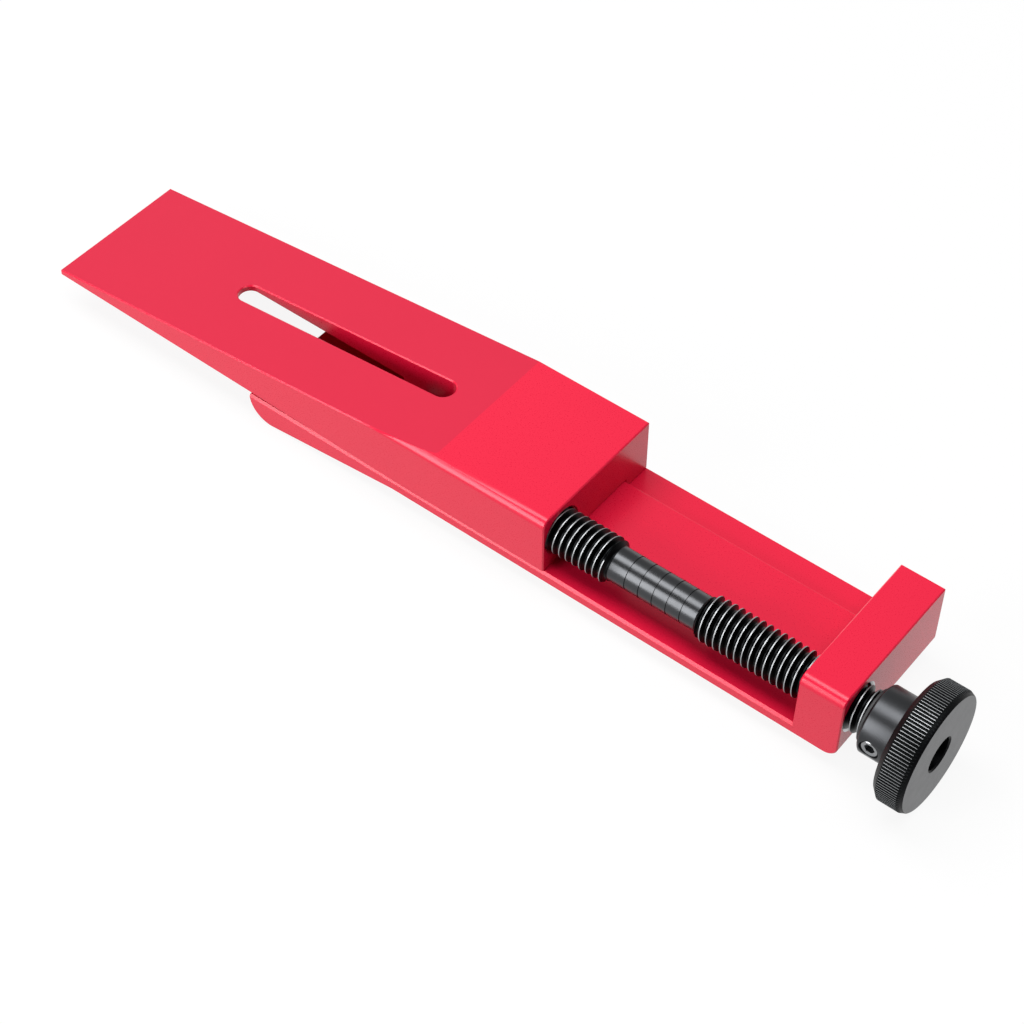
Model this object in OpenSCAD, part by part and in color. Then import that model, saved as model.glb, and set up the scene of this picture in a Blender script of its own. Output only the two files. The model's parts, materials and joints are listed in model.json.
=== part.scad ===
// Wedge spreader for brake caliper pistons.
// A wedge slides along a base, driven by a screw with a left-hand and a right-hand thread.
// Millimetres. X runs along the tool towards the knob, Z is up, the screw lies on the -Y side.
// The origin is the centre of the base's flat underside, and the wedge stands as it is stored.

/* [Jaws] */
// Width of both jaws
width = 34; // [32:0.5:45]
// Height of the wedge's head and of the end block above the channel floor
head_h = 14.15; // [13.5:0.05:18]
// Radius along the screw-side top edges of the head and the end block
edge_r = 2; // [0.5:0.1:3]
// Length of the wedge's sloped working face, measured along the tool
slope_len = 104.7; // [95:0.1:125]
// Height of the tip's top edge above the channel floor
tip_h = 3.35; // [2.5:0.05:5]
// Gap between sliding flat faces
slide_gap = 0.05; // [0.02:0.01:0.1]

/* [Base] */
// Length of the flat underside, up to the rear of the end block
flat_len = 106.4; // [102:0.1:125]
// Length of the sloped jaw in front of the flat underside
jaw_len = 39; // [35:0.1:50]
// Radius of the nose
nose_r = 5.6; // [3:0.1:7]
// Thickness of the plate under the screw channel
plate_t = 2.6; // [2.5:0.1:5]
// Thickness of the end block
block_t = 9.7; // [8:0.1:14]
// Radius of the end block's lower rear edge
heel_r = 2.9; // [1:0.1:5]
// Chamfer along the screw-side edge of the channel floor
lip_chamfer = 0.5; // [0.2:0.1:0.8]
// Width of the open channel that the screw lies in
channel_w = 10.8; // [10.5:0.1:12]
// Height of the guide rail above the channel floor
rail_h = 3.3; // [2.5:0.1:3.6]
// Length of the guide rail, from the end block forwards
rail_len = 87.5; // [80:0.5:100]
// Width of the low strip on the far side of the rail
strip_w = 7.2; // [5:0.1:10]
// Height of the low strip above the channel floor
strip_h = 1; // [0.5:0.1:2]

/* [Wedge] */
// Length of the head's flat top
head_len = 27.5; // [25:0.1:35]
// Distance between the head and the end block as stored
open_gap = 58.3; // [56:0.1:70]
// Thickness of the tip's edge
tip_t = 0.5; // [0.3:0.1:1]
// Length of the bevel under the tip
bevel_len = 32.4; // [25:0.1:40]
// Distance from the head's back to the near end of the guide slot
slot_from_back = 36; // [34:0.1:42]
// Width of the guide slot
slot_w = 5; // [4:0.1:6]
// Spare length at the front of the guide groove
groove_spare = 1; // [0.5:0.1:3]

/* [Screw] */
// Outside diameter of both threads
thread_d = 9.525; // [9:0.005:10]
// Pitch of both threads
thread_pitch = 1.5875; // [1.25:0.0125:1.75]
// Chamfer at the ends of the threads
thread_chamfer = 1; // [0.3:0.1:1]
// Radial clearance of the screw in its bores
run_fit = 0.05; // [0.02:0.01:0.1]
// Distance of the screw's axis from the screw-side face
axis_inset = 5.8; // [5.7:0.1:6.5]
// Height of the screw's axis above the channel floor
axis_h = 7.5; // [7.4:0.1:8.2]
// Turns of the knob from the stored place until the stop ring meets the block
turns_out = 1.75; // [1:0.25:1.75]
// Turns of the knob from the stored place until the wedge is drawn right back
turns_in = 14.9; // [8:0.1:14.9]
// Length of the left-hand thread
left_len = 27.3; // [24:0.1:30]
// Length of the left-hand thread that is inside the head as stored
left_engaged = 13.6; // [12:0.1:16]
// Length of the smooth waist
waist_len = 19.2; // [17:0.1:22]
// Diameter of the waist
waist_d = 7.4; // [6:0.1:7.5]
// Number of ring marks on the waist
ring_count = 5; // [0:1:6]
// Distance of the middle ring mark from the waist's middle, towards the knob
ring_shift = 0.8; // [0:0.1:1]
// Distance between the ring marks
ring_pitch = 3.2; // [2:0.05:3.2]
// Width of a ring mark
ring_w = 0.3; // [0.2:0.05:0.5]
// Depth of a ring mark
ring_depth = 0.2; // [0.1:0.05:0.4]
// Length of the right-hand thread
right_len = 38.9; // [37:0.1:42]
// Length of the tail inside the knob
tail_len = 10.3; // [9:0.1:13]
// Diameter of the tail inside the knob
tail_d = 7; // [6:0.1:7.5]

/* [Knob] */
// Diameter over the knurl
knob_d = 25.4; // [20:0.1:32]
// Width of the knurled rim
knob_w = 6.6; // [5:0.1:10]
// Chamfer on the rim's edge towards the collar
back_chamfer = 1.3; // [0.8:0.1:1.8]
// Length of the bevel at the knob's face, measured along the screw
face_bevel_len = 1.1; // [0.6:0.1:1.6]
// Depth of the bevel at the knob's face, measured towards the screw's axis
face_bevel = 0.5; // [0.4:0.1:1]
// Pitch of the straight knurl
knurl_pitch = 0.67; // [0.65:0.01:1.6]
// Depth of the straight knurl
knurl_depth = 0.3; // [0.1:0.05:0.4]
// Diameter of the collar
collar_d = 14; // [12:0.1:17]
// Length of the collar
collar_len = 6.7; // [6:0.1:10]
// Chamfer on the collar's edge
collar_chamfer = 0.4; // [0.2:0.1:0.8]
// Clearance between fixed pieces
seat_fit = 0.02; // [0.01:0.01:0.03]

/* [Small parts] */
// Diameter of the set screw in the collar
grub_d = 4; // [3:0.1:4.5]
// Distance of the set screw from the collar's edge
grub_inset = 2.7; // [2.5:0.1:3.5]
// Direction of the set screw round the screw's axis, from +Y towards +Z
grub_angle = 183; // [0:1:360]
// Depth of the set screw's outer end below the collar's surface
grub_sunk = 0.35; // [0.3:0.05:0.6]
// Width across the flats of the set screw's socket
socket_w = 2; // [1.5:0.1:2.5]
// Depth of the set screw's socket
socket_depth = 1.6; // [1:0.1:2]
// Outside diameter of the stop ring
stop_ring_d = 11; // [10.5:0.1:12]
// Thickness of the stop ring
stop_ring_t = 0.8; // [0.5:0.1:0.9]
// Height of the guide pin above the channel floor
pin_h = 5.8; // [4.5:0.1:6.5]
// Depth of the guide pin in the base
pin_seat = 2.1; // [1.5:0.1:2.4]
// Space left between the guide pin and the slot's ends at both limits
pin_spare = 0.3; // [0.2:0.05:0.6]
// Chamfer on the guide pin's upper end
pin_chamfer = 0.5; // [0.2:0.1:0.8]

/* [Hidden] */

$fn = 96;
// How far a cutter reaches past the face that it opens
past = 2;
// How far joined shapes lap into each other
lap = 1;

anodised_red = "#d81f3e";
black_oxide = "#2b2c2f";
bright_steel = "#9a9ea3";
black_nylon = "#141416";

half_w = width / 2;
floor_z = plate_t;
top_z = floor_z + head_h;
face_slope = (head_h - tip_h) / slope_len;
face_angle = atan(face_slope);

// Stations along the base
block_x1 = flat_len / 2;
block_x0 = block_x1 - block_t;
kink_x = -flat_len / 2;
nose_x = kink_x - jaw_len;
rail_x0 = block_x0 - rail_len;
rail_y0 = -half_w + channel_w;
rail_y1 = half_w - strip_w;

// The nose's round touches the front and the sloped face, and its centre stays below the floor
nose_fit = (plate_t + jaw_len * face_slope) / (face_slope + 1 / cos(face_angle));
nose_round = min(nose_r, nose_fit);
nose_cx = nose_x + nose_round;
nose_cz = (nose_cx - kink_x) * face_slope + nose_round / cos(face_angle);

// Travel: the screw moves one pitch a turn, and the wedge two
screw_out = turns_out * thread_pitch;
screw_in = turns_in * thread_pitch;
wedge_out = 2 * screw_out;
wedge_in = 2 * screw_in;

// Stations along the wedge
head_x = block_x0 - open_gap;
fold_x = head_x - head_len;
tip_x = fold_x - slope_len;
bevel_x = tip_x + bevel_len;
groove_x0 = rail_x0 - wedge_in - groove_spare;
under_z = floor_z + slide_gap;

// The guide pin meets neither end of the slot at the limits of travel
pin_r = slot_w / 2 - run_fit;
slot_x1 = head_x - slot_from_back - slot_w / 2;
pin_x = slot_x1 - wedge_out - pin_spare;
slot_x0 = pin_x - wedge_in - pin_spare;

// Screw, with its stations along X
axis_y = -half_w + axis_inset;
axis_z = floor_z + axis_h;
thread_r = thread_d / 2;
// Thread form: 60 degree flanks between flats on the crests and in the roots
crest_w = thread_pitch / 8;
groove_w = thread_pitch - crest_w;
root_r = thread_r - 0.58 * thread_pitch;
root_w = groove_w - 2 * (thread_r - root_r) * tan(30);
bore_r = thread_r + run_fit;
bore_depth = left_engaged + screw_in + lap;
mouth_chamfer = 0.5;
drill_point = bore_r / tan(59);
waist_r = waist_d / 2;
tail_r = tail_d / 2;
screw_x0 = head_x - left_engaged;
waist_x = screw_x0 + left_len;
right_x = waist_x + waist_len;
collar_x = right_x + right_len;
knob_x = collar_x + collar_len;

collar_r = collar_d / 2;
knob_r = knob_d / 2;
knurl_count = round(PI * knob_d / knurl_pitch);
seat_r = tail_r + seat_fit;
grub_r = grub_d / 2;
grub_x = collar_x + grub_inset;

// Extrudes a side view, drawn as X and Z, over the whole width
module across_width() {
  translate([0, half_w, 0])
    rotate([90, 0, 0])
      linear_extrude(width)
        children();
}

// Extrudes a cross-section, drawn as Y and Z, from x0 to x1
module along(x0, x1) {
  translate([x0, 0, 0])
    rotate([90, 0, 90])
      linear_extrude(x1 - x0)
        children();
}

// Places what is modelled along Z on the screw's axis, starting at x
module on_axis(x) {
  translate([x, axis_y, axis_z])
    rotate([0, 90, 0])
      children();
}

// Cutter that rounds the screw-side top edge from x0 to x1
module top_edge_cutter(x0, x1) {
  along(x0, x1)
    translate([-half_w, top_z - edge_r])
      difference() {
        translate([-past, 0])
          square([edge_r + past, edge_r + past]);
        translate([edge_r, 0])
          circle(edge_r);
      }
}

// Cross-section of the rail and the far strip, grown by the sliding gap when it is cut from the wedge
module rail_section(gap, bottom) {
  polygon([
    [rail_y0 - gap, bottom],
    [rail_y0 - gap, floor_z + rail_h + gap],
    [rail_y1 + gap, floor_z + rail_h + gap],
    [rail_y1 + gap, floor_z + strip_h + gap],
    [half_w + (gap > 0 ? past : 0), floor_z + strip_h + gap],
    [half_w + (gap > 0 ? past : 0), bottom]
  ]);
}

// Cross-section of the cutter that chamfers the channel floor's screw-side edge
module lip_section() {
  polygon([
    [-half_w - past, floor_z - lip_chamfer - past],
    [-half_w + lip_chamfer + past, floor_z + past],
    [-half_w - past, floor_z + past]
  ]);
}

// Chamfer at the mouth of a screw bore that opens along +Z
module bore_mouth() {
  translate([0, 0, -mouth_chamfer])
    cylinder(r1 = bore_r, r2 = bore_r + mouth_chamfer + past, h = mouth_chamfer + past);
}

module base_side() {
  difference() {
    union() {
      polygon([
        [block_x1, 0],
        [kink_x, 0],
        [nose_cx + nose_round * sin(face_angle), nose_cz - nose_round * cos(face_angle)],
        [nose_x, nose_cz],
        [nose_x, floor_z],
        [block_x0, floor_z],
        [block_x0, top_z],
        [block_x1, top_z]
      ]);
      intersection() {
        translate([nose_cx, nose_cz])
          circle(nose_round);
        translate([nose_x - past, floor_z - 3 * nose_round])
          square([nose_round + past, 3 * nose_round]);
      }
    }
    translate([block_x1 - heel_r, 0])
      difference() {
        translate([0, -past])
          square([heel_r + past, heel_r + past]);
        translate([0, heel_r])
          circle(heel_r);
      }
  }
}

module base() {
  color(anodised_red)
    difference() {
      union() {
        across_width()
          base_side();
        along(rail_x0, block_x0 + lap)
          rail_section(0, lap);
      }
      top_edge_cutter(block_x0 - lap, block_x1 + past);
      along(nose_x - past, block_x0)
        lip_section();
      on_axis(block_x0 - past)
        cylinder(r = bore_r, h = block_t + 2 * past);
      on_axis(block_x1)
        bore_mouth();
      translate([pin_x, 0, floor_z - pin_seat])
        cylinder(r = pin_r + seat_fit, h = pin_seat + past);
    }
}

module guide_pin() {
  color(bright_steel)
    translate([pin_x, 0, floor_z - pin_seat]) {
      cylinder(r = pin_r, h = pin_seat + pin_h - pin_chamfer);
      translate([0, 0, pin_seat + pin_h - pin_chamfer])
        cylinder(r1 = pin_r, r2 = pin_r - pin_chamfer, h = pin_chamfer);
    }
}

module guide_slot() {
  slot_h = head_h + 2 * past;
  translate([0, 0, floor_z - past]) {
    for (x = [slot_x0, slot_x1])
      translate([x, 0, 0])
        cylinder(d = slot_w, h = slot_h);
    translate([slot_x0, -slot_w / 2, 0])
      cube([slot_x1 - slot_x0, slot_w, slot_h]);
  }
}

module head_bore() {
  on_axis(head_x - bore_depth)
    cylinder(r = bore_r, h = bore_depth + past);
  on_axis(head_x - bore_depth - drill_point)
    cylinder(r1 = 0, r2 = bore_r, h = drill_point);
  on_axis(head_x)
    bore_mouth();
}

module wedge() {
  color(anodised_red)
    difference() {
      across_width()
        polygon([
          [tip_x, floor_z + tip_h],
          [tip_x, floor_z + tip_h - tip_t],
          [bevel_x, under_z],
          [head_x, under_z],
          [head_x, top_z],
          [fold_x, top_z]
        ]);
      top_edge_cutter(tip_x - past, head_x + past);
      along(groove_x0, head_x + past)
        rail_section(slide_gap, under_z - past);
      guide_slot();
      head_bore();
    }
}

// Outline of the rings that stand for a thread's turns, as radius and length
function turns_outline(z0, z1) =
  let (
    count = floor((z1 - z0 - 2 * thread_chamfer - crest_w) / thread_pitch),
    first_z = (z0 + z1) / 2 - (count - 1) / 2 * thread_pitch
  )
  [
    for (i = [0:1:count - 1])
      let (z = first_z + i * thread_pitch)
        each [
          [thread_r, z - groove_w / 2],
          [root_r, z - root_w / 2],
          [root_r, z + root_w / 2],
          [thread_r, z + groove_w / 2]
        ]
  ];

// Outline of one thread's solid, with both ends chamfered
function thread_outline(z0, z1) = concat(
  [
    [thread_r - thread_chamfer, z0],
    [thread_r, z0 + thread_chamfer]
  ],
  turns_outline(z0, z1),
  [
    [thread_r, z1 - thread_chamfer],
    [thread_r - thread_chamfer, z1]
  ]
);

// Outline of the waist's ring marks
function ring_outline(z0, z1) = [
  for (i = [0:1:ring_count - 1])
    let (z = (z0 + z1) / 2 + ring_shift + (i - (ring_count - 1) / 2) * ring_pitch)
      each [
        [waist_r, z - ring_w / 2],
        [waist_r - ring_depth, z],
        [waist_r, z + ring_w / 2]
      ]
];

module spindle() {
  waist_z = left_len;
  right_z = waist_z + waist_len;
  tail_z = right_z + right_len;
  end_z = tail_z + tail_len;
  tail_chamfer = thread_chamfer / 2;
  color(black_oxide)
    on_axis(screw_x0)
      rotate_extrude()
        polygon(concat(
          [[0, 0]],
          thread_outline(0, waist_z),
          [[waist_r, waist_z]],
          ring_outline(waist_z, right_z),
          [[waist_r, right_z]],
          thread_outline(right_z, tail_z),
          [
            [tail_r, tail_z],
            [tail_r, end_z - tail_chamfer],
            [tail_r - tail_chamfer, end_z],
            [0, end_z]
          ]
        ));
}

module stop_ring() {
  color(black_nylon)
    on_axis(collar_x - slide_gap - stop_ring_t)
      difference() {
        cylinder(d = stop_ring_d, h = stop_ring_t);
        translate([0, 0, -past])
          cylinder(r = bore_r, h = stop_ring_t + 2 * past);
      }
}

// Points of the straight knurl, crest and root in turn
function knurl_points() = [
  for (i = [0:2 * knurl_count - 1])
    let (r = i % 2 == 0 ? knob_r : knob_r - knurl_depth, a = 180 * i / knurl_count)
      [r * cos(a), r * sin(a)]
];

module knurled_rim() {
  intersection() {
    linear_extrude(knob_w)
      polygon(knurl_points());
    rotate_extrude()
      polygon([
        [0, 0],
        [knob_r - back_chamfer, 0],
        [knob_r + face_bevel, back_chamfer + face_bevel],
        [knob_r + face_bevel, knob_w - 2 * face_bevel_len],
        [knob_r - face_bevel, knob_w],
        [0, knob_w]
      ]);
  }
}

// Places what is modelled along Z on the set screw's axis, starting at the screw's axis
module on_grub_axis() {
  translate([grub_x, axis_y, axis_z])
    rotate([grub_angle - 90, 0, 0])
      children();
}

module knob() {
  color(black_oxide)
    difference() {
      union() {
        on_axis(collar_x)
          rotate_extrude()
            polygon([
              [0, 0],
              [collar_r - collar_chamfer, 0],
              [collar_r, collar_chamfer],
              [collar_r, collar_len + lap],
              [0, collar_len + lap]
            ]);
        on_axis(knob_x)
          knurled_rim();
      }
      on_axis(collar_x - past)
        cylinder(r = seat_r, h = collar_len + knob_w + 2 * past);
      on_grub_axis()
        cylinder(r = grub_r + seat_fit, h = collar_r + past);
    }
}

module grub_screw() {
  tip_z = seat_r;
  end_z = collar_r - grub_sunk;
  grub_chamfer = grub_d / 10;
  color(bright_steel)
    on_grub_axis()
      difference() {
        rotate_extrude()
          polygon([
            [0, tip_z],
            [grub_r - grub_chamfer, tip_z],
            [grub_r, tip_z + grub_chamfer],
            [grub_r, end_z - grub_chamfer],
            [grub_r - grub_chamfer, end_z],
            [0, end_z]
          ]);
        translate([0, 0, end_z - socket_depth])
          cylinder(d = socket_w / cos(30), h = socket_depth + past, $fn = 6);
      }
}

base();
guide_pin();
wedge();
spindle();
stop_ring();
knob();
grub_screw();
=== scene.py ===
"""Looks of a wedge spreader for brake caliper pistons, built round its packed CAD model.

The CAD nodes stay as the frame. Each piece here stands for one node, with the edge breaks, helical
threads, knurl, milled front of the wedge and finishes that the CAD leaves out. Lengths are in metres,
in the CAD's own frame: X along the tool towards the knob, Z up, the screw on the -Y side.
"""

import json
import math

import bmesh
import bpy
from bpy.props import FloatProperty, FloatVectorProperty, IntProperty, PointerProperty
from mathutils import Matrix, Vector


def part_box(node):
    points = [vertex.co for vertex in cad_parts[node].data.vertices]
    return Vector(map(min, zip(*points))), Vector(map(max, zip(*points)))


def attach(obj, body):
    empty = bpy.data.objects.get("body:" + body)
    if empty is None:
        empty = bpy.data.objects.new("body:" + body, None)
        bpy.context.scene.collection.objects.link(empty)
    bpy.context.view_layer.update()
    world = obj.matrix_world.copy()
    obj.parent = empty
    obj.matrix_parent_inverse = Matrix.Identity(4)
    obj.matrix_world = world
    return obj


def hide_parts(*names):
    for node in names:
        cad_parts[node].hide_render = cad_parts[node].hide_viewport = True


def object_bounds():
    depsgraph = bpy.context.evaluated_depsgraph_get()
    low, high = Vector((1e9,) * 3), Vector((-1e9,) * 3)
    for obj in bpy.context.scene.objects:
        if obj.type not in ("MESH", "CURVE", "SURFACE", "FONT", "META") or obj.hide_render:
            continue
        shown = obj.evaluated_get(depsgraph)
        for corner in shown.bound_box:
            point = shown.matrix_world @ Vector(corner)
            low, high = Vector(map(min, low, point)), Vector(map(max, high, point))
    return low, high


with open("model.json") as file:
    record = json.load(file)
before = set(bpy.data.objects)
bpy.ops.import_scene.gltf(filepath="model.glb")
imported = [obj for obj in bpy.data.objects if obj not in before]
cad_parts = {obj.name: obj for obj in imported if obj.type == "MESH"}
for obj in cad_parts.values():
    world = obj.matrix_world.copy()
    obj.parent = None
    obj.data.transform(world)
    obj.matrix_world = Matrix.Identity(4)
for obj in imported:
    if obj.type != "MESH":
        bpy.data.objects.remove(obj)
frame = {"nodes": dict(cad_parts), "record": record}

bl_info = {
    "name": "Caliper piston spreader",
    "version": (1, 0, 0),
    "blender": (4, 5, 0),
    "location": "View3D > Sidebar > Spreader",
    "description": "Builds the visible pieces of a wedge spreader on its CAD frame",
    "category": "Object",
}

MM = 0.001
# Points closer than this are one
MERGE = 0.001 * MM
# Slack where places are compared
SLACK = 0.01 * MM
# Slack where a mesh is cut by a plane
CUT_SLACK = 0.0001 * MM
# Segments round a turned piece
ROUND_STEPS = 96
CAD_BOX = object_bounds()
BODY_OF = {
    node: body
    for body, nodes in frame["record"]["behaviour"]["bodies"].items()
    for node in nodes
}

# Places that the CAD gives
SPINDLE_LOW, SPINDLE_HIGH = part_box("spindle")
KNOB_LOW, KNOB_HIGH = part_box("knob")
RING_LOW, RING_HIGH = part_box("stop_ring")
PIN_LOW, PIN_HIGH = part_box("guide_pin")
BASE_LOW, BASE_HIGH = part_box("base")
WEDGE_LOW, WEDGE_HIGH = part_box("wedge")
AXIS = (SPINDLE_LOW + SPINDLE_HIGH) / 2


def linear(code):
    """Linear RGBA of an sRGB hex colour."""
    channels = [int(code[i : i + 2], 16) / 255 for i in (1, 3, 5)]
    return [c / 12.92 if c <= 0.04045 else ((c + 0.055) / 1.055) ** 2.4 for c in channels] + [1.0]


class JawSizes(bpy.types.PropertyGroup):
    """Edge breaks, milled front and colours of the two anodised jaws"""

    edge_break: FloatProperty(
        name="Edge break",
        description="Width of the small chamfer on the machined edges",
        default=0.25 * MM,
        unit="LENGTH",
    )
    far_break: FloatProperty(
        name="Far edge break",
        description="Width of the bevel on the side away from the screw",
        default=0.1 * MM,
        unit="LENGTH",
    )
    rail_break: FloatProperty(
        name="Rail edge break",
        description="Width of the bevel along the far side of the guide rail",
        default=0.5 * MM,
        unit="LENGTH",
    )
    front_length: FloatProperty(
        name="Front",
        description="Length of the wedge's front, over which its underside rises to the tip",
        default=95.8 * MM,
        unit="LENGTH",
    )
    tip_thickness: FloatProperty(
        name="Tip",
        description="Thickness of the wedge's tip",
        default=1.4 * MM,
        unit="LENGTH",
    )
    pocket_length: FloatProperty(
        name="Pocket",
        description="Length of the pocket in the wedge's underside, beside the slot",
        default=47 * MM,
        unit="LENGTH",
    )
    pocket_from_tip: FloatProperty(
        name="Pocket place",
        description="Distance of the pocket from the tip",
        default=33.8 * MM,
        unit="LENGTH",
    )
    pocket_roof: FloatProperty(
        name="Pocket roof",
        description="Height of the pocket's roof above the wedge's underside",
        default=5.85 * MM,
        unit="LENGTH",
    )
    pocket_reach: FloatProperty(
        name="Pocket reach",
        description="Distance that the pocket reaches past the slot's middle, away from the screw",
        default=8.6 * MM,
        unit="LENGTH",
    )
    pocket_near: FloatProperty(
        name="Pocket near side",
        description="Distance that the pocket reaches past the slot's middle, towards the screw",
        default=2.35 * MM,
        unit="LENGTH",
    )
    colour: FloatVectorProperty(
        name="Anodising",
        description="Colour of the dyed oxide layer",
        default=linear("#c40e32")[:3],
        size=3,
        subtype="COLOR",
    )
    # A darker red than the rest, drawn on the gently sloping working faces
    working_colour: FloatVectorProperty(
        name="Working face",
        description="Colour of the dyed oxide layer on the ground working faces",
        default=linear("#b40c30")[:3],
        size=3,
        subtype="COLOR",
    )


class SpindleSizes(bpy.types.PropertyGroup):
    """Threads and waist of the screw"""

    thread_radius: FloatProperty(
        name="Thread radius",
        description="Outside radius of both threads",
        default=(SPINDLE_HIGH.z - SPINDLE_LOW.z) / 2,
        unit="LENGTH",
    )
    pitch: FloatProperty(
        name="Pitch",
        description="Pitch of both threads",
        default=1.5875 * MM,
        unit="LENGTH",
    )
    left_length: FloatProperty(
        name="Left-hand thread",
        description="Length of the left-hand thread",
        default=27.3 * MM,
        unit="LENGTH",
    )
    left_shift: FloatProperty(
        name="Left-hand shift",
        description="Shift of the left-hand thread's turns along the screw",
        default=-0.5 * MM,
        unit="LENGTH",
    )
    waist_length: FloatProperty(
        name="Waist",
        description="Length of the smooth waist",
        default=20.07 * MM,
        unit="LENGTH",
    )
    right_length: FloatProperty(
        name="Right-hand thread",
        description="Length of the right-hand thread",
        default=38.03 * MM,
        unit="LENGTH",
    )
    end_cone: FloatProperty(
        name="Thread end",
        description="Length of the cone turned on the end of a thread",
        default=0.9 * MM,
        unit="LENGTH",
    )
    lead_cone: FloatProperty(
        name="Thread lead",
        description="Length of the cone between the waist and the right-hand thread",
        default=1.0 * MM,
        unit="LENGTH",
    )
    waist_radius: FloatProperty(
        name="Waist radius",
        description="Radius of the smooth waist",
        default=3.7 * MM,
        unit="LENGTH",
    )
    tail_radius: FloatProperty(
        name="Tail radius",
        description="Radius of the tail inside the knob",
        default=3.5 * MM,
        unit="LENGTH",
    )
    ring_count: IntProperty(
        name="Ring marks",
        description="Number of ring marks on the waist",
        default=5,
        min=0,
    )
    ring_pitch: FloatProperty(
        name="Ring pitch",
        description="Distance between the ring marks",
        default=3.2 * MM,
        unit="LENGTH",
    )
    ring_shift: FloatProperty(
        name="Ring shift",
        description="Distance of the middle ring mark from the waist's middle",
        default=0.37 * MM,
        unit="LENGTH",
    )
    thread_steps: IntProperty(
        name="Thread steps",
        description="Segments in one turn of a thread",
        default=64,
        min=12,
    )


class KnobSizes(bpy.types.PropertyGroup):
    """Collar, knurl and set screw of the knob"""

    rim_width: FloatProperty(
        name="Rim width",
        description="Width of the knurled rim",
        default=6.6 * MM,
        unit="LENGTH",
    )
    rim_radius: FloatProperty(
        name="Rim radius",
        description="Radius over the knurl's crests",
        default=(KNOB_HIGH.z - KNOB_LOW.z) / 2,
        unit="LENGTH",
    )
    back_chamfer: FloatProperty(
        name="Back chamfer",
        description="Chamfer on the rim's edge towards the collar",
        default=1.3 * MM,
        unit="LENGTH",
    )
    face_bevel: FloatProperty(
        name="Face bevel",
        description="Depth of the bevel at the knob's face",
        default=0.5 * MM,
        unit="LENGTH",
    )
    face_bevel_length: FloatProperty(
        name="Face bevel length",
        description="Length of the bevel at the knob's face, along the screw",
        default=1.1 * MM,
        unit="LENGTH",
    )
    bore_radius: FloatProperty(
        name="Bore radius",
        description="Radius of the bore that takes the screw's tail",
        default=3.52 * MM,
        unit="LENGTH",
    )
    knurl_count: IntProperty(
        name="Knurl",
        description="Number of straight ridges round the rim",
        default=119,
        min=3,
    )
    knurl_depth: FloatProperty(
        name="Knurl depth",
        description="Depth of the straight knurl",
        default=0.3 * MM,
        unit="LENGTH",
    )
    edge_break: FloatProperty(
        name="Edge break",
        description="Small bevel on the collar's edges",
        default=0.12 * MM,
        unit="LENGTH",
    )
    screw_radius: FloatProperty(
        name="Set screw radius",
        description="Outside radius of the set screw",
        default=2 * MM,
        unit="LENGTH",
    )
    screw_place: FloatProperty(
        name="Set screw place",
        description="Distance of the set screw from the collar's edge",
        default=2.7 * MM,
        unit="LENGTH",
    )
    screw_angle: FloatProperty(
        name="Set screw angle",
        description="Direction of the set screw, from +Y towards +Z",
        default=math.radians(183),
        subtype="ANGLE",
    )
    screw_inner: FloatProperty(
        name="Set screw point",
        description="Distance of the set screw's point from the screw's axis",
        default=3.52 * MM,
        unit="LENGTH",
    )
    screw_outer: FloatProperty(
        name="Set screw end",
        description="Distance of the set screw's socket end from the screw's axis",
        default=6.65 * MM,
        unit="LENGTH",
    )
    socket_width: FloatProperty(
        name="Socket",
        description="Width across the flats of the set screw's socket",
        default=2 * MM,
        unit="LENGTH",
    )


class StageSizes(bpy.types.PropertyGroup):
    """Camera, floor and lights"""

    camera_place: FloatVectorProperty(
        name="Camera",
        description="Place of the camera",
        default=(0.16189873, -0.24987804, 0.35360207),
        size=3,
        subtype="TRANSLATION",
    )
    camera_turn: FloatVectorProperty(
        name="Camera turn",
        description="Rotation of the camera",
        default=[math.radians(a) for a in (41.25559711, -0.07655125, 38.44678468)],
        size=3,
        subtype="EULER",
    )
    lens: FloatProperty(
        name="Lens",
        description="Focal length in millimetres on a 36 mm wide sensor",
        default=82.7117,
        unit="CAMERA",
    )
    floor_colour: FloatVectorProperty(
        name="Floor",
        description="Colour of the floor",
        default=linear("#cacaca")[:3],
        size=3,
        subtype="COLOR",
    )
    overhead_power: FloatProperty(
        name="Overhead light",
        description="Power of the softbox above the tool",
        default=14.2,
        unit="POWER",
    )
    front_power: FloatProperty(
        name="Front light",
        description="Power of the softbox in front of the tool",
        default=16,
        unit="POWER",
    )


def add_node(tree, kind, sockets=None, **settings):
    """Adds a node with its settings, and fills its sockets from values or other nodes' outputs."""
    node = tree.nodes.new(kind)
    for name, value in settings.items():
        setattr(node, name, value)
    for key, value in (sockets or {}).items():
        if isinstance(value, bpy.types.NodeSocket):
            tree.links.new(value, node.inputs[key])
        else:
            node.inputs[key].default_value = value
    return node


def new_material(name):
    """An empty node material and its tree."""
    material = bpy.data.materials.new(name)
    material.use_nodes = True
    material.node_tree.nodes.clear()
    return material, material.node_tree


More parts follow.
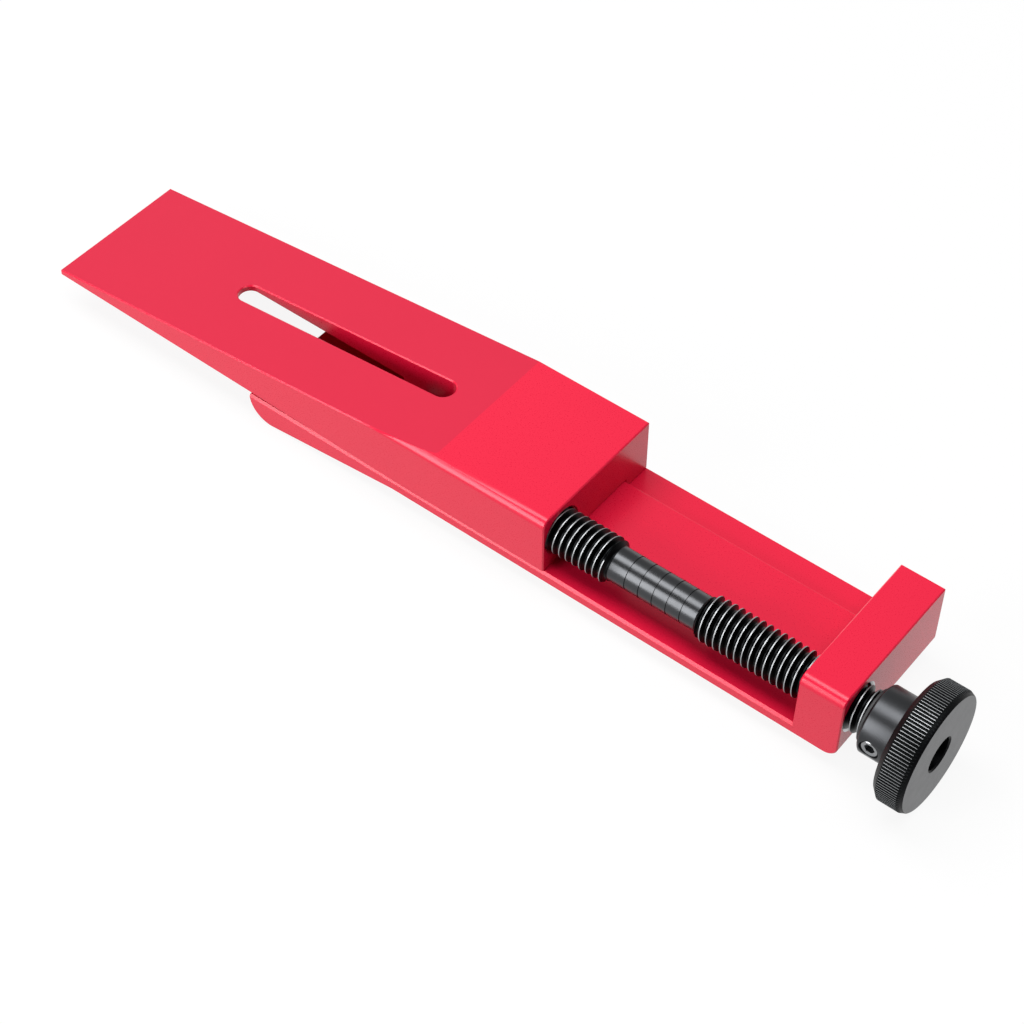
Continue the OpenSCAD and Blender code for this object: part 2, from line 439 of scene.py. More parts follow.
def anodised_aluminium(name, colour, roughness):
    """Dyed anodised aluminium, blasted or ground before anodising: an even satin red, with a slightly
    uneven dye and gloss, and a clear oxide layer that gives pale highlights on broken edges."""
    material, tree = new_material(name)
    place = add_node(tree, "ShaderNodeTexCoord").outputs["Object"]
    # Dye takes up unevenly over about 30 mm
    dye = add_node(tree, "ShaderNodeTexNoise", {"Vector": place, "Scale": 1 / (30 * MM), "Detail": 2.0})
    deeper = [c * 0.94 for c in colour] + [1.0]
    tint = add_node(
        tree,
        "ShaderNodeMix",
        {"Factor": dye.outputs["Fac"], "A": [*colour, 1.0], "B": deeper},
        data_type="RGBA",
    )
    # Blasting grit leaves marks about 0.2 mm wide
    grit = add_node(
        tree,
        "ShaderNodeTexNoise",
        {"Vector": place, "Scale": 1 / (0.2 * MM), "Detail": 1.0},
    )
    satin = add_node(
        tree,
        "ShaderNodeMapRange",
        {"Value": grit.outputs["Fac"], "To Min": roughness - 0.02, "To Max": roughness + 0.02},
    )
    surface = add_node(
        tree,
        "ShaderNodeBsdfPrincipled",
        {
            "Base Color": tint.outputs["Result"],
            "Metallic": 0.1,
            "Roughness": satin.outputs["Result"],
            "IOR": 1.42,
        },
    )
    add_node(tree, "ShaderNodeOutputMaterial", {"Surface": surface.outputs["BSDF"]})
    return material


def turned_metal(name, colour, roughness, ring_spacing, ring_height):
    """Turned metal: fine rings round the screw's axis, and a satin sheen with faint patches."""
    material, tree = new_material(name)
    place = add_node(tree, "ShaderNodeTexCoord").outputs["Object"]
    centred = add_node(tree, "ShaderNodeMapping", {"Vector": place, "Location": (0, -AXIS.y, -AXIS.z)})
    # A wave repeats every 0.314 of a unit at a scale of one. A lathe's marks are often 0.1 mm apart,
    # and are drawn wider so that they show
    rings = add_node(
        tree,
        "ShaderNodeTexWave",
        {
            "Vector": centred.outputs["Vector"],
            "Scale": 0.314 / ring_spacing,
            "Distortion": 0.6,
            "Detail": 1.0,
        },
        wave_type="RINGS",
        rings_direction="X",
    )
    # Handling and oil leave patches about 2.5 mm wide
    patches = add_node(
        tree,
        "ShaderNodeTexNoise",
        {"Vector": place, "Scale": 1 / (2.5 * MM), "Detail": 3.0},
    )
    darker = [c * 0.9 for c in linear(colour)[:3]] + [1.0]
    tint = add_node(
        tree,
        "ShaderNodeMix",
        {"Factor": patches.outputs["Fac"], "A": linear(colour), "B": darker},
        data_type="RGBA",
    )
    satin = add_node(
        tree,
        "ShaderNodeMapRange",
        {"Value": patches.outputs["Fac"], "To Min": roughness - 0.03, "To Max": roughness + 0.03},
    )
    bump = add_node(tree, "ShaderNodeBump", {"Height": rings.outputs["Fac"], "Distance": ring_height})
    surface = add_node(
        tree,
        "ShaderNodeBsdfPrincipled",
        {
            "Base Color": tint.outputs["Result"],
            "Metallic": 1.0,
            "Roughness": satin.outputs["Result"],
            "Normal": bump.outputs["Normal"],
        },
    )
    add_node(tree, "ShaderNodeOutputMaterial", {"Surface": surface.outputs["BSDF"]})
    return material


def moulded_nylon(name, colour):
    """Black moulded nylon: matte, with a faint moulding grain."""
    material, tree = new_material(name)
    place = add_node(tree, "ShaderNodeTexCoord").outputs["Object"]
    # The mould's grain is about 0.4 mm wide
    grain = add_node(
        tree,
        "ShaderNodeTexNoise",
        {"Vector": place, "Scale": 1 / (0.4 * MM), "Detail": 2.0},
    )
    bump = add_node(tree, "ShaderNodeBump", {"Height": grain.outputs["Fac"], "Distance": 0.01 * MM})
    surface = add_node(
        tree,
        "ShaderNodeBsdfPrincipled",
        {"Base Color": linear(colour), "Roughness": 0.6, "IOR": 1.53, "Normal": bump.outputs["Normal"]},
    )
    add_node(tree, "ShaderNodeOutputMaterial", {"Surface": surface.outputs["BSDF"]})
    return material


def finish_piece(bm, node, materials, sharp_angle):
    """Makes a bmesh the piece that stands for a CAD node and rides on that node's body."""
    mesh = bpy.data.meshes.new("visual_" + node)
    bm.to_mesh(mesh)
    bm.free()
    # Normals that a CAD copy brought along no longer fit its bevels
    if "custom_normal" in mesh.attributes:
        mesh.attributes.remove(mesh.attributes["custom_normal"])
    for material in materials:
        mesh.materials.append(material)
    mesh.shade_smooth()
    mesh.set_sharp_from_angle(angle=sharp_angle)
    piece = bpy.data.objects.new("visual_" + node, mesh)
    bpy.context.scene.collection.objects.link(piece)
    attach(piece, BODY_OF[node])
    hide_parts(node)
    return piece


def weigh_normals(piece):
    """Keeps flat faces flat in the shading, so that only their bevels look round."""
    modifier = piece.modifiers.new("Weighted normals", "WEIGHTED_NORMAL")
    modifier.keep_sharp = True


def make_whole(bm):
    """Merges loose triangles, and makes each flat face one face."""
    flat = math.radians(0.2)
    bmesh.ops.remove_doubles(bm, verts=bm.verts, dist=MERGE)
    bmesh.ops.dissolve_limit(bm, angle_limit=flat, verts=bm.verts, edges=bm.edges)


def cad_solid(node):
    """A bmesh of a CAD node with its flat faces whole."""
    bm = bmesh.new()
    bm.from_mesh(frame["nodes"][node].data)
    bmesh.ops.remove_doubles(bm, verts=bm.verts, dist=MERGE)
    # A bore and its drill point touch in a wall of no thickness, which goes
    rim = {v for e in bm.edges if len(e.link_faces) > 2 for v in e.verts}
    wall = [f for f in bm.faces if rim.issuperset(f.verts)]
    bmesh.ops.delete(bm, geom=wall, context="FACES")
    make_whole(bm)
    return bm


def carve(bm, outline, y0, y1):
    """Takes a prism out of a solid: an (x, z) outline between two places along Y."""
    cutter = bmesh.new()
    skin(cutter, [[(x, y, z) for x, z in outline] for y in (y0, y1)])
    solids = []
    for part in (bm, cutter):
        mesh = bpy.data.meshes.new("solid")
        part.to_mesh(mesh)
        solids.append(bpy.data.objects.new("solid", mesh))
        bpy.context.scene.collection.objects.link(solids[-1])
    cutter.free()
    modifier = solids[0].modifiers.new("Carve", "BOOLEAN")
    modifier.operation = "DIFFERENCE"
    modifier.solver = "EXACT"
    modifier.object = solids[1]
    carved = solids[0].evaluated_get(bpy.context.evaluated_depsgraph_get())
    bm.clear()
    bm.from_mesh(carved.to_mesh())
    for solid in solids:
        bpy.data.meshes.remove(solid.data)
    make_whole(bm)


def break_edges(bm, edges, width, segments):
    """Breaks machined edges: one segment is a chamfer, and more are a rounding."""
    bmesh.ops.bevel(
        bm,
        geom=edges,
        offset=width,
        offset_type="OFFSET",
        affect="EDGES",
        segments=segments,
        profile=0.5,
        material=-1,
    )


def outer_edges(bm, angle):
    """Edges that stand out, and are sharper than an angle."""
    return [e for e in bm.edges if e.is_manifold and e.calc_face_angle_signed() > angle]


def revolve(bm, outline, steps):
    """Turns an outline of (x, radius) points into a closed solid round the screw's axis."""
    verts = [bm.verts.new((x, AXIS.y, AXIS.z + r)) for x, r in outline]
    edges = [bm.edges.new(pair) for pair in zip(verts, verts[1:])]
    bmesh.ops.spin(
        bm,
        geom=verts + edges,
        cent=(0, AXIS.y, AXIS.z),
        axis=(1, 0, 0),
        angle=2 * math.pi,
        steps=steps,
        use_merge=True,
    )
    bmesh.ops.remove_doubles(bm, verts=bm.verts, dist=MERGE)
    bmesh.ops.recalc_face_normals(bm, faces=bm.faces)


def skin(bm, rings):
    """Covers a row of closed rings with the same number of points, and caps both ends."""
    rows = [[bm.verts.new(co) for co in ring] for ring in rings]
    for low, high in zip(rows, rows[1:]):
        for i in range(len(low)):
            bm.faces.new((low[i - 1], low[i], high[i], high[i - 1]))
    for end in (rows[0], rows[-1]):
        bm.faces.new(end)
    bmesh.ops.recalc_face_normals(bm, faces=bm.faces)


def quarter_turn(steps):
    """Angles from nothing to a right angle."""
    return [math.pi / 2 * i / steps for i in range(steps + 1)]


def radius_of(co):
    """Distance from the screw's axis."""
    return math.hypot(co.y - AXIS.y, co.z - AXIS.z)


def set_radius(vert, radius):
    """Moves a vertex straight to or from the screw's axis."""
    scale = radius / max(radius_of(vert.co), MERGE)
    vert.co.y = AXIS.y + (vert.co.y - AXIS.y) * scale
    vert.co.z = AXIS.z + (vert.co.z - AXIS.z) * scale


def join(whole, part):
    """Adds a finished bmesh to another, and frees it."""
    mesh = bpy.data.meshes.new("part")
    part.to_mesh(mesh)
    part.free()
    whole.from_mesh(mesh)
    bpy.data.meshes.remove(mesh)


class SPREADER_OT_jaws(bpy.types.Operator):
    """Build both anodised jaws with broken edges and the wedge's milled front"""

    bl_idname = "spreader.jaws"
    bl_label = "Jaws"
    SATIN, GROUND, BARE = range(3)

    def execute(self, context):
        sizes = context.scene.spreader_jaws
        # Blasted faces are satin, ground working faces duller, and the bore's mouth is cut after dyeing
        satin = anodised_aluminium("Anodised aluminium", sizes.colour, 0.28)
        # The working faces are drawn a darker red than the other faces
        ground = anodised_aluminium("Anodised aluminium, ground", sizes.working_colour, 0.36)
        bare = turned_metal("Bare aluminium", "#c8c9ca", 0.3, 0.2 * MM, 0.002 * MM)
        sharp = math.radians(50)
        for node in ("base", "wedge"):
            bm = cad_solid(node)
            if node == "wedge":
                self.shape_front(bm, sizes)
            else:
                self.close_nose(bm)
            far = [e for e in outer_edges(bm, sharp) if self.on_far_side(e)]
            break_edges(bm, far, sizes.far_break, 1)
            near = [e for e in outer_edges(bm, sharp) if not self.on_far_side(e)]
            near = [e for e in near if not self.on_rail(e) and not self.on_pocket_roof(e, sizes)]
            break_edges(bm, near, sizes.edge_break, 1)
            rail = [e for e in outer_edges(bm, sharp) if self.on_rail(e)]
            break_edges(bm, rail, sizes.rail_break, 2)
            for face in bm.faces:
                if self.slopes_gently(face):
                    face.material_index = self.GROUND
                elif all(self.in_mouth(v.co) for v in face.verts):
                    face.material_index = self.BARE
                else:
                    face.material_index = self.SATIN
            piece = finish_piece(bm, node, [satin, ground, bare], math.radians(30))
            weigh_normals(piece)
        return {"FINISHED"}

    def close_nose(self, bm):
        """Closes the narrow notch at the base's lowest edge, where its nose meets its working face."""
        for v in [v for v in bm.verts if v.co.z < BASE_LOW.z + MERGE]:
            for edge in v.link_edges:
                above = edge.other_vert(v)
                if (above.co - v.co).xy.length < SLACK:
                    above.co = v.co
        make_whole(bm)

    def shape_front(self, bm, sizes):
        """Lets the wedge's underside rise to the tip, and mills the pocket beside its slot."""
        tip, under = WEDGE_LOW.x, WEDGE_LOW.z
        end = [v for v in bm.verts if v.co.x < tip + SLACK]
        tip_low = max(v.co.z for v in end) - sizes.tip_thickness
        lowest = min(v.co.z for v in end)
        for v in end:
            if v.co.z < lowest + SLACK:
                v.co.z = under
        # Cutters reach past what they cut
        past = 2 * MM
        slope = (tip_low - under) / sizes.front_length
        rise = [(tip + sizes.front_length, under), (tip - past, tip_low + past * slope)]
        below = [(tip - past, under - past), (tip + sizes.front_length, under - past)]
        carve(bm, rise + below, WEDGE_LOW.y - past, WEDGE_HIGH.y + past)
        x0 = tip + sizes.pocket_from_tip
        x1, roof = x0 + sizes.pocket_length, under + sizes.pocket_roof
        pocket = [(x0, under - past), (x0, roof), (x1, roof), (x1, under - past)]
        # The slot's wall on the screw's side stays, so that the pin keeps its guide
        carve(bm, pocket, -sizes.pocket_near, sizes.pocket_reach)

    def slopes_gently(self, face):
        """Whether a face slopes a little along the tool, as the working faces do."""
        least, most = math.radians(1.15), math.radians(8.1)
        return abs(face.normal.x) > math.sin(least) and abs(face.normal.z) > math.cos(most)

    def on_far_side(self, edge):
        """Whether an edge lies on the face away from the screw, or on that face's broken edges."""
        depth = 0.2 * MM
        return all(v.co.y > BASE_HIGH.y - depth for v in edge.verts)

    def on_rail(self, edge):
        """Whether an edge is the long one on the rail's far side."""
        low, high = sorted((v.co for v in edge.verts), key=lambda co: co.x)
        least_length, least_y, most_y = 80 * MM, 5 * MM, 15 * MM
        return high.x - low.x > least_length and least_y < low.y < most_y and low.z > 0

    def on_pocket_roof(self, edge, sizes):
        """Whether an edge lies round the slot in the pocket's roof, where no cutter reaches it."""
        roof = WEDGE_LOW.z + sizes.pocket_roof
        return all(abs(v.co.z - roof) < SLACK for v in edge.verts)

    def in_mouth(self, co):
        """Whether a point lies in the chamfered mouth of the end block's bore."""
        radius, depth = 5.6 * MM, 0.7 * MM
        return radius_of(co) < radius and co.x > BASE_HIGH.x - depth


class SPREADER_OT_spindle(bpy.types.Operator):
    """Build the screw with its left-hand and right-hand threads"""

    bl_idname = "spreader.spindle"
    bl_label = "Screw"
    OXIDE, WORN, GROUND = range(3)

    def thread(self, sizes, x0, x1, hand, lead, shift):
        """Sweeps one pitch of a 60 degree thread through a turn, repeats it, and trims it to length."""
        bm = bmesh.new()
        pitch = sizes.pitch
        crest = sizes.thread_radius
        root = crest - 0.58 * pitch
        # Half of one pitch, from the flat root over a short foot up the flank to the flat crest
        root_flat, crest_flat = 0.08 * pitch, 0.433 * pitch
        foot = Vector((0.13 * pitch, root + 0.06 * MM))
        shoulder = Vector((0.418 * pitch, crest - 0.03 * MM))
        half = [(0, root), (root_flat, root)]
        half += [foot.lerp(shoulder, t) for t in (0, 1 / 3, 2 / 3, 1)]
        half += [(crest_flat, crest)]
        outline = half + [(pitch - x, r) for x, r in reversed(half)]
        start = x0 - 1.5 * pitch + shift
        verts = [bm.verts.new((start + x, AXIS.y, AXIS.z + r)) for x, r in outline]
        edges = [bm.edges.new(pair) for pair in zip(verts, verts[1:])]
        bmesh.ops.spin(
            bm,
            geom=verts + edges,
            cent=(0, AXIS.y, AXIS.z),
            axis=(1, 0, 0),
            dvec=(pitch / sizes.thread_steps, 0, 0),
            angle=hand * 2 * math.pi,
            steps=sizes.thread_steps,
        )
        turn = bm.verts[:] + bm.edges[:] + bm.faces[:]
        for i in range(math.ceil((x1 - x0) / pitch) + 2):
            copied = bmesh.ops.duplicate(bm, geom=turn)["geom"]
            moved = [part for part in copied if isinstance(part, bmesh.types.BMVert)]
            bmesh.ops.translate(bm, verts=moved, vec=((i + 1) * pitch, 0, 0))
        bmesh.ops.remove_doubles(bm, verts=bm.verts, dist=2 * MERGE)
        for x, outward in ((x0, -1), (x1, 1)):
            bmesh.ops.bisect_plane(
                bm,
                geom=bm.verts[:] + bm.edges[:] + bm.faces[:],
                plane_co=(x, 0, 0),
                plane_no=(outward, 0, 0),
                dist=CUT_SLACK,
                clear_outer=True,
            )
        # Both ends are turned down to the waist's radius after the thread is cut
        height = crest - sizes.waist_radius
        for v in bm.verts:
            rise = min((v.co.x - x0) / lead, (x1 - v.co.x) / sizes.end_cone)
            set_radius(v, min(radius_of(v.co), sizes.waist_radius + height * rise))
        bmesh.ops.holes_fill(bm, edges=[e for e in bm.edges if e.is_boundary], sides=0)
        bmesh.ops.recalc_face_normals(bm, faces=bm.faces)
        # Crest faces get the pale material: steel rubbed bare, and a painted highlight line
        crest_band = 0.005 * MM
        for face in bm.faces:
            worn_and_highlit = min(radius_of(v.co) for v in face.verts) > crest - crest_band
            face.material_index = self.WORN if worn_and_highlit else self.OXIDE
        return bm

    def core(self, sizes, x_waist, x_right, x_end):
        """Turns the waist with its ring marks and the tail, as one bar inside the threads."""
        bm = bmesh.new()
        waist, tail = sizes.waist_radius, sizes.tail_radius
        fillet, chamfer = 0.1 * MM, 0.4 * MM
        # The bar reaches this far into both threads
        inside = 2 * MM
        arc = [(fillet * (1 - math.cos(a)), fillet * (1 - math.sin(a))) for a in quarter_turn(4)]
        outline = [(x_waist - inside, 0), (x_waist - inside, waist + fillet)]
        outline += [(x_waist + x, waist + r) for x, r in arc]
        middle = (x_waist + x_right) / 2 + sizes.ring_shift
        # A ring mark's half width at its mouth and at its floor, and its depth
        mouth, floor, depth = 0.13 * MM, 0.09 * MM, 0.16 * MM
        for i in range(sizes.ring_count):
            x = middle + (i - (sizes.ring_count - 1) / 2) * sizes.ring_pitch
            outline += [(x - mouth, waist), (x - floor, waist - depth)]
            outline += [(x + floor, waist - depth), (x + mouth, waist)]
        outline += [(x_right - x, waist + r) for x, r in reversed(arc)]
        outline += [(x_right + inside, waist + fillet), (x_right + inside, tail)]
        outline += [(x_end - chamfer, tail), (x_end, tail - chamfer)]
        # The end has a centre hole from the lathe
        hole_radius, hole_depth = 1.2 * MM, 0.7 * MM
        outline += [(x_end, hole_radius), (x_end - hole_depth, 0)]
        revolve(bm, outline, ROUND_STEPS)
        for face in bm.faces:
            smooth = x_waist < face.calc_center_median().x < x_right
            face.material_index = self.GROUND if smooth else self.OXIDE
        return bm

    def execute(self, context):
        sizes = context.scene.spreader_spindle
        x_waist = SPINDLE_LOW.x + sizes.left_length
        x_right = x_waist + sizes.waist_length
        x_end = x_right + sizes.right_length
        whole = self.thread(sizes, SPINDLE_LOW.x, x_waist, -1, sizes.end_cone, sizes.left_shift)
        join(whole, self.thread(sizes, x_right, x_end, 1, sizes.lead_cone, 0))
        join(whole, self.core(sizes, x_waist, x_right, SPINDLE_HIGH.x))
        # Oxide is nearly black, and the ground waist shows soft bands
        oxide = turned_metal("Black oxide steel", "#131415", 0.4, 0.3 * MM, 0.002 * MM)
        # Crests are drawn pale, as steel rubbed bare and as a painted highlight line
        worn_and_highlit = turned_metal("Steel, worn thread crests", "#9a9c9e", 0.5, 0.3 * MM, 0.001 * MM)
        ground = turned_metal("Oiled steel, ground", "#464749", 0.28, 0.3 * MM, 0.002 * MM)
        finish_piece(whole, "spindle", [oxide, worn_and_highlit, ground], math.radians(35))
        return {"FINISHED"}


class SPREADER_OT_knob(bpy.types.Operator):
    """Build the knurled knob and its collar"""

    bl_idname = "spreader.knob"
    bl_label = "Knob"
    TURNED, KNURLED, FACED, WORN = range(4)

    def rim(self, sizes, x0, x1):
        """Turns the rim, and presses a straight knurl into it."""
        bm = bmesh.new()
        crest = sizes.rim_radius
        back, bevel, length = sizes.back_chamfer, sizes.face_bevel, sizes.face_bevel_length
        small = 0.3 * MM
        outline = [
            (x0, sizes.bore_radius),
            (x0, crest - back - small / 2),
            (x0 + small / 4, crest - back + small / 4),
            (x0 + back, crest),
            (x1 - length, crest),
            (x1 - small / 3, crest - bevel + small / 6),
            (x1, crest - bevel - small / 4),
            (x1, sizes.bore_radius + small),
            (x1 - small, sizes.bore_radius),
            (x0, sizes.bore_radius),
        ]
        # Depth of one ridge at ten places round it, from its rounded crest to its root
        ridge = (0.04, 0.0, 0.04, 0.4, 0.8, 1.0, 1.0, 1.0, 0.8, 0.4)
        steps = len(ridge) * sizes.knurl_count
        revolve(bm, outline, steps)
        for v in bm.verts:
            r = radius_of(v.co)
            if r < crest - SLACK:
                continue
            turn = math.atan2(v.co.z - AXIS.z, v.co.y - AXIS.y) / (2 * math.pi)
            depth = sizes.knurl_depth * ridge[round(turn * steps) % len(ridge)]
            # The grooves run out on the chamfer and on the bevel
            v.co.x += depth * length / bevel if v.co.x > (x0 + x1) / 2 else -depth
            set_radius(v, r - depth)
        for face in bm.faces:
            middle = face.calc_center_median()
            if face.normal.x > 0.9 and middle.x > x1 - SLACK:
                face.material_index = self.FACED
            # Crest faces get the pale material: steel rubbed bare, and a painted highlight line
            elif radius_of(middle) > crest - 0.1 * sizes.knurl_depth:
                face.material_index = self.WORN
            else:
                face.material_index = self.KNURLED
        return bm

    def collar(self, sizes, x1):
        """The CAD's collar with its set screw hole, cut off before the rim and let into it."""
        bm = cad_solid("knob")
        let_in = 0.3 * MM
        cut = x1 - 0.05 * MM
        bmesh.ops.bisect_plane(
            bm,
            geom=bm.verts[:] + bm.edges[:] + bm.faces[:],
            plane_co=(cut, 0, 0),
            plane_no=(1, 0, 0),
            dist=CUT_SLACK,
            clear_outer=True,
        )
        bmesh.ops.bridge_loops(bm, edges=[e for e in bm.edges if e.is_boundary])
        end = [v for v in bm.verts if v.co.x > cut - MERGE]
        bmesh.ops.translate(bm, verts=end, vec=(let_in, 0, 0))
        edges = [e for e in outer_edges(bm, math.radians(40)) if all(v.co.x < cut for v in e.verts)]
        break_edges(bm, edges, sizes.edge_break, 2)
        return bm

    def execute(self, context):
        sizes = context.scene.spreader_knob
        x1 = KNOB_HIGH.x
        x0 = x1 - sizes.rim_width
        whole = self.rim(sizes, x0, x1)
        join(whole, self.collar(sizes, x0))
        # Oxide on turned, knurled and faced steel is dark and satin
        turned = turned_metal("Black oxide steel, turned", "#3c3d3f", 0.34, 0.3 * MM, 0.002 * MM)
        knurled = turned_metal("Black oxide steel, knurled", "#161718", 0.5, 0.3 * MM, 0.002 * MM)
        faced = turned_metal("Black oxide steel, faced", "#4a4b4d", 0.36, 0.3 * MM, 0.004 * MM)
        # Ridge crests are drawn pale, as steel rubbed bare and as a painted highlight line
        worn_and_highlit = turned_metal("Steel, worn knurl crests", "#8c8e90", 0.5, 0.3 * MM, 0.001 * MM)
        finish_piece(whole, "knob", [turned, knurled, faced, worn_and_highlit], math.radians(30))
        return {"FINISHED"}


class SPREADER_OT_set_screw(bpy.types.Operator):
    """Build the socket set screw in the knob's collar"""

    bl_idname = "spreader.set_screw"
    bl_label = "Set screw"

    def execute(self, context):
        sizes = context.scene.spreader_knob
        bm = bmesh.new()
        radius, half = sizes.screw_radius, sizes.socket_width / 2
        inner, outer = sizes.screw_inner, sizes.screw_outer
        chamfer = 0.3 * MM
        cup_depth, cup_floor, cup_rim = 0.5 * MM, 0.35 * radius, 0.6 * radius
        socket_lead, socket_depth = 0.1 * MM, 1.6 * MM
        mouth = half / math.cos(math.radians(30)) + socket_lead
        steps = 48
        turns = [2 * math.pi * i / steps for i in range(steps)]
        round_rings = (
            (inner + cup_depth, cup_floor),
            (inner, cup_rim),
            (inner + chamfer, radius),
            (outer - chamfer, radius),
            (outer, radius - chamfer),
            (outer, mouth),
        )
        rings = [[(r * math.cos(t), r * math.sin(t), z) for t in turns] for z, r in round_rings]
        # Six flats, from the socket's mouth to its bottom
        sixth = math.radians(60)
        flats = [half / math.cos(t % sixth - sixth / 2) for t in turns]
        for z in (outer - socket_lead, outer - socket_depth):
            rings.append([(r * math.cos(t), r * math.sin(t), z) for r, t in zip(flats, turns)])
        skin(bm, rings)
        place = Vector((KNOB_LOW.x + sizes.screw_place, AXIS.y, AXIS.z))
        turn = Matrix.Rotation(sizes.screw_angle - math.pi / 2, 4, "X")
        bmesh.ops.transform(bm, matrix=Matrix.Translation(place) @ turn, verts=bm.verts)
        # Bright turned steel catches a small sharp highlight
        steel = turned_metal("Bright steel", "#8a8c8e", 0.28, 0.2 * MM, 0.001 * MM)
        finish_piece(bm, "grub_screw", [steel], math.radians(30))
        return {"FINISHED"}


class SPREADER_OT_stop_ring(bpy.types.Operator):
    """Build the nylon stop ring on the screw"""

    bl_idname = "spreader.stop_ring"
    bl_label = "Stop ring"

    def execute(self, context):
        bm = bmesh.new()
        outer = (RING_HIGH.z - RING_LOW.z) / 2
        clearance, soft = 0.05 * MM, 0.2 * MM
        inner = context.scene.spreader_spindle.thread_radius + clearance
        x0, x1 = RING_LOW.x, RING_HIGH.x
        outline = [
            (x0, inner + soft / 2),
            (x0, outer - soft),
            (x0 + soft / 3, outer - soft / 3),
            (x0 + soft, outer),
            (x1 - soft, outer),
            (x1 - soft / 3, outer - soft / 3),
            (x1, outer - soft),
            (x1, inner + soft / 2),
            (x1 - soft / 2, inner),
            (x0 + soft / 2, inner),
            (x0, inner + soft / 2),
        ]
        revolve(bm, outline, ROUND_STEPS)
        nylon = moulded_nylon("Black nylon", "#151517")
        finish_piece(bm, "stop_ring", [nylon], math.radians(40))
        return {"FINISHED"}


class SPREADER_OT_guide_pin(bpy.types.Operator):
    """Build the guide pin that runs in the wedge's slot"""

    bl_idname = "spreader.guide_pin"
    bl_label = "Guide pin"

    def execute(self, context):
        bm = bmesh.new()
        middle = (PIN_LOW + PIN_HIGH) / 2
        radius = (PIN_HIGH.x - PIN_LOW.x) / 2
        top_break = 0.5 * MM
        bmesh.ops.create_cone(
            bm,
            cap_ends=True,
            segments=64,
            radius1=radius,
            radius2=radius,
            depth=PIN_HIGH.z - PIN_LOW.z,
            matrix=Matrix.Translation(middle),
        )
        rims = outer_edges(bm, math.radians(40))
        break_edges(bm, [e for e in rims if all(v.co.z > middle.z for v in e.verts)], top_break, 3)
        # Hardened dowel steel under an oil film looks dark in the slot
        steel = turned_metal("Oiled dowel steel", "#4a4c4e", 0.3, 0.2 * MM, 0.001 * MM)
        finish_piece(bm, "guide_pin", [steel], math.radians(30))
        return {"FINISHED"}


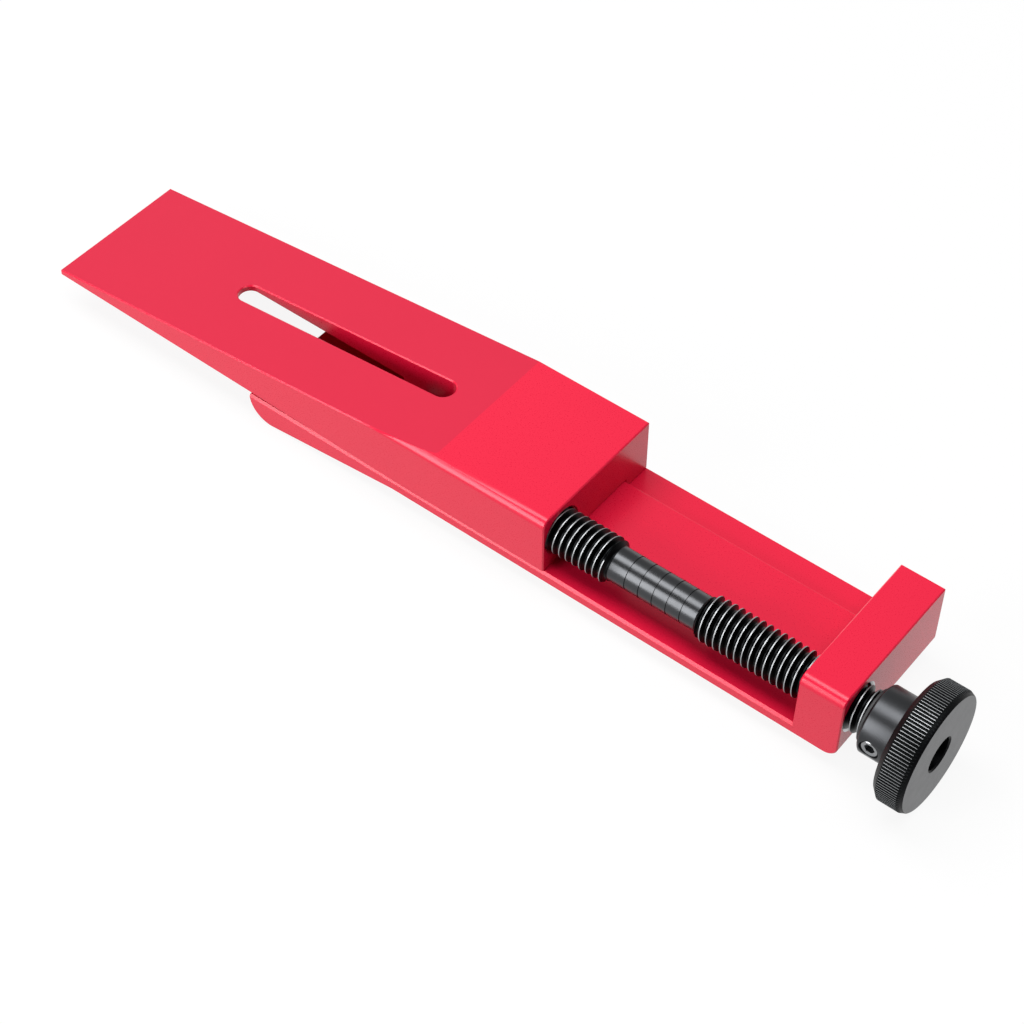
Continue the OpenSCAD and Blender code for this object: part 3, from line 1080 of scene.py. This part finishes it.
class SPREADER_OT_stage(bpy.types.Operator):
    """Set up the floor, the soft studio light and the camera"""

    bl_idname = "spreader.stage"
    bl_label = "Stage"

    def floor(self, colour):
        """A plain pale floor that shows white and keeps the object's shadow."""
        half_width, gap = 12.0, 0.02 * MM
        white_share = 0.9
        bm = bmesh.new()
        bmesh.ops.create_grid(
            bm,
            x_segments=1,
            y_segments=1,
            size=half_width,
            matrix=Matrix.Translation((0, 0, CAD_BOX[0].z - gap)),
        )
        mesh = bpy.data.meshes.new("floor")
        bm.to_mesh(mesh)
        bm.free()
        material, tree = new_material("Paper backdrop")
        paper = add_node(tree, "ShaderNodeBsdfDiffuse", {"Color": [*colour, 1.0]})
        white = add_node(tree, "ShaderNodeEmission", {"Color": (1, 1, 1, 1), "Strength": 1.0})
        # The paper shows white to the eye and in reflections, with a tenth of its own shading left
        path = add_node(tree, "ShaderNodeLightPath").outputs
        seen = path["Is Camera Ray"]
        for ray in ("Is Glossy Ray", "Is Transmission Ray"):
            either = add_node(tree, "ShaderNodeMath", {0: seen, 1: path[ray]}, operation="MAXIMUM")
            seen = either.outputs["Value"]
        share = add_node(tree, "ShaderNodeMapRange", {"Value": seen, "To Max": white_share})
        surface = add_node(
            tree,
            "ShaderNodeMixShader",
            {0: share.outputs["Result"], 1: paper.outputs["BSDF"], 2: white.outputs["Emission"]},
        )
        add_node(tree, "ShaderNodeOutputMaterial", {"Surface": surface.outputs["Shader"]})
        mesh.materials.append(material)
        floor = bpy.data.objects.new("floor", mesh)
        bpy.context.scene.collection.objects.link(floor)

    def world(self):
        """A white horizon that fades to a grey ceiling, so that round metal shows bands."""
        world = bpy.data.worlds.new("Studio")
        bpy.context.scene.world = world
        world.use_nodes = True
        tree = world.node_tree
        tree.nodes.clear()
        way = add_node(tree, "ShaderNodeTexCoord").outputs["Generated"]
        way = add_node(tree, "ShaderNodeSeparateXYZ", {"Vector": way})
        ramp = add_node(
            tree,
            "ShaderNodeMapRange",
            {
                "Value": way.outputs["Z"],
                "From Min": 0.0,
                "From Max": 0.35,
                "To Min": 1.0,
                "To Max": 0.4,
            },
            interpolation_type="SMOOTHSTEP",
        )
        # The far side of the studio is the brighter one, and the end behind the knob the darker one
        strength = ramp.outputs["Result"]
        for axis, low, high in (("Y", 0.2, 1.5), ("X", 1.2, 0.55)):
            shade = add_node(
                tree,
                "ShaderNodeMapRange",
                {
                    "Value": way.outputs[axis],
                    "From Min": -0.6,
                    "From Max": 0.6,
                    "To Min": low,
                    "To Max": high,
                },
            )
            shaded = add_node(
                tree,
                "ShaderNodeMath",
                {0: strength, 1: shade.outputs["Result"]},
                operation="MULTIPLY",
            )
            strength = shaded.outputs["Value"]
        sky = add_node(tree, "ShaderNodeBackground", {"Color": (1, 1, 1, 1), "Strength": strength})
        add_node(tree, "ShaderNodeOutputWorld", {"Surface": sky.outputs["Background"]})

    def softbox(self, name, place, aim, width, height, power):
        """A soft rectangular lamp that shines along a direction."""
        lamp = bpy.data.lights.new(name, "AREA")
        lamp.shape = "RECTANGLE"
        lamp.size, lamp.size_y = width, height
        lamp.energy = power
        box = bpy.data.objects.new(name, lamp)
        box.location = place
        box.rotation_euler = Vector(aim).to_track_quat("-Z", "Y").to_euler()
        bpy.context.scene.collection.objects.link(box)

    def execute(self, context):
        sizes = context.scene.spreader_stage
        self.floor(sizes.floor_colour)
        self.world()
        middle = (CAD_BOX[0] + CAD_BOX[1]) / 2
        self.softbox(
            "Overhead softbox",
            place=middle + Vector((-0.1, -0.04, 0.9)),
            aim=(0, 0, -1),
            width=1.35,
            height=0.46,
            power=sizes.overhead_power,
        )
        self.softbox(
            "Front softbox",
            place=middle + Vector((-0.54, -0.9, 0.4)),
            aim=(0, 1, 0),
            width=0.76,
            height=0.76,
            power=sizes.front_power,
        )
        camera = bpy.data.objects.new("Camera", bpy.data.cameras.new("Camera"))
        camera.data.sensor_width = 36
        camera.data.lens = sizes.lens
        camera.data.clip_start = 0.01
        camera.location = sizes.camera_place
        camera.rotation_euler = sizes.camera_turn
        context.scene.collection.objects.link(camera)
        context.scene.camera = camera
        context.scene.view_settings.view_transform = "Standard"
        return {"FINISHED"}


class SPREADER_PT_pieces(bpy.types.Panel):
    """Lists the spreader's pieces and their sizes"""

    bl_idname = "SPREADER_PT_pieces"
    bl_label = "Caliper piston spreader"
    bl_space_type = "VIEW_3D"
    bl_region_type = "UI"
    bl_category = "Spreader"

    def draw(self, context):
        layout = self.layout
        for group in GROUPS:
            box = layout.box()
            sizes = getattr(context.scene, group)
            box.label(text=type(sizes).__doc__)
            for name in sizes.__annotations__:
                box.prop(sizes, name)
        for operator in OPERATORS:
            layout.operator(operator.bl_idname)


GROUPS = {
    "spreader_jaws": JawSizes,
    "spreader_spindle": SpindleSizes,
    "spreader_knob": KnobSizes,
    "spreader_stage": StageSizes,
}
OPERATORS = (
    SPREADER_OT_jaws,
    SPREADER_OT_spindle,
    SPREADER_OT_knob,
    SPREADER_OT_set_screw,
    SPREADER_OT_stop_ring,
    SPREADER_OT_guide_pin,
    SPREADER_OT_stage,
)


def register():
    for cls in (*GROUPS.values(), *OPERATORS, SPREADER_PT_pieces):
        bpy.utils.register_class(cls)
    for name, cls in GROUPS.items():
        setattr(bpy.types.Scene, name, PointerProperty(type=cls))


def unregister():
    for name in GROUPS:
        delattr(bpy.types.Scene, name)
    for cls in reversed((*GROUPS.values(), *OPERATORS, SPREADER_PT_pieces)):
        bpy.utils.unregister_class(cls)


def main():
    register()
    bpy.ops.spreader.jaws()
    bpy.ops.spreader.spindle()
    bpy.ops.spreader.knob()
    bpy.ops.spreader.set_screw()
    bpy.ops.spreader.stop_ring()
    bpy.ops.spreader.guide_pin()
    bpy.ops.spreader.stage()


if __name__ == "__main__":
    main()
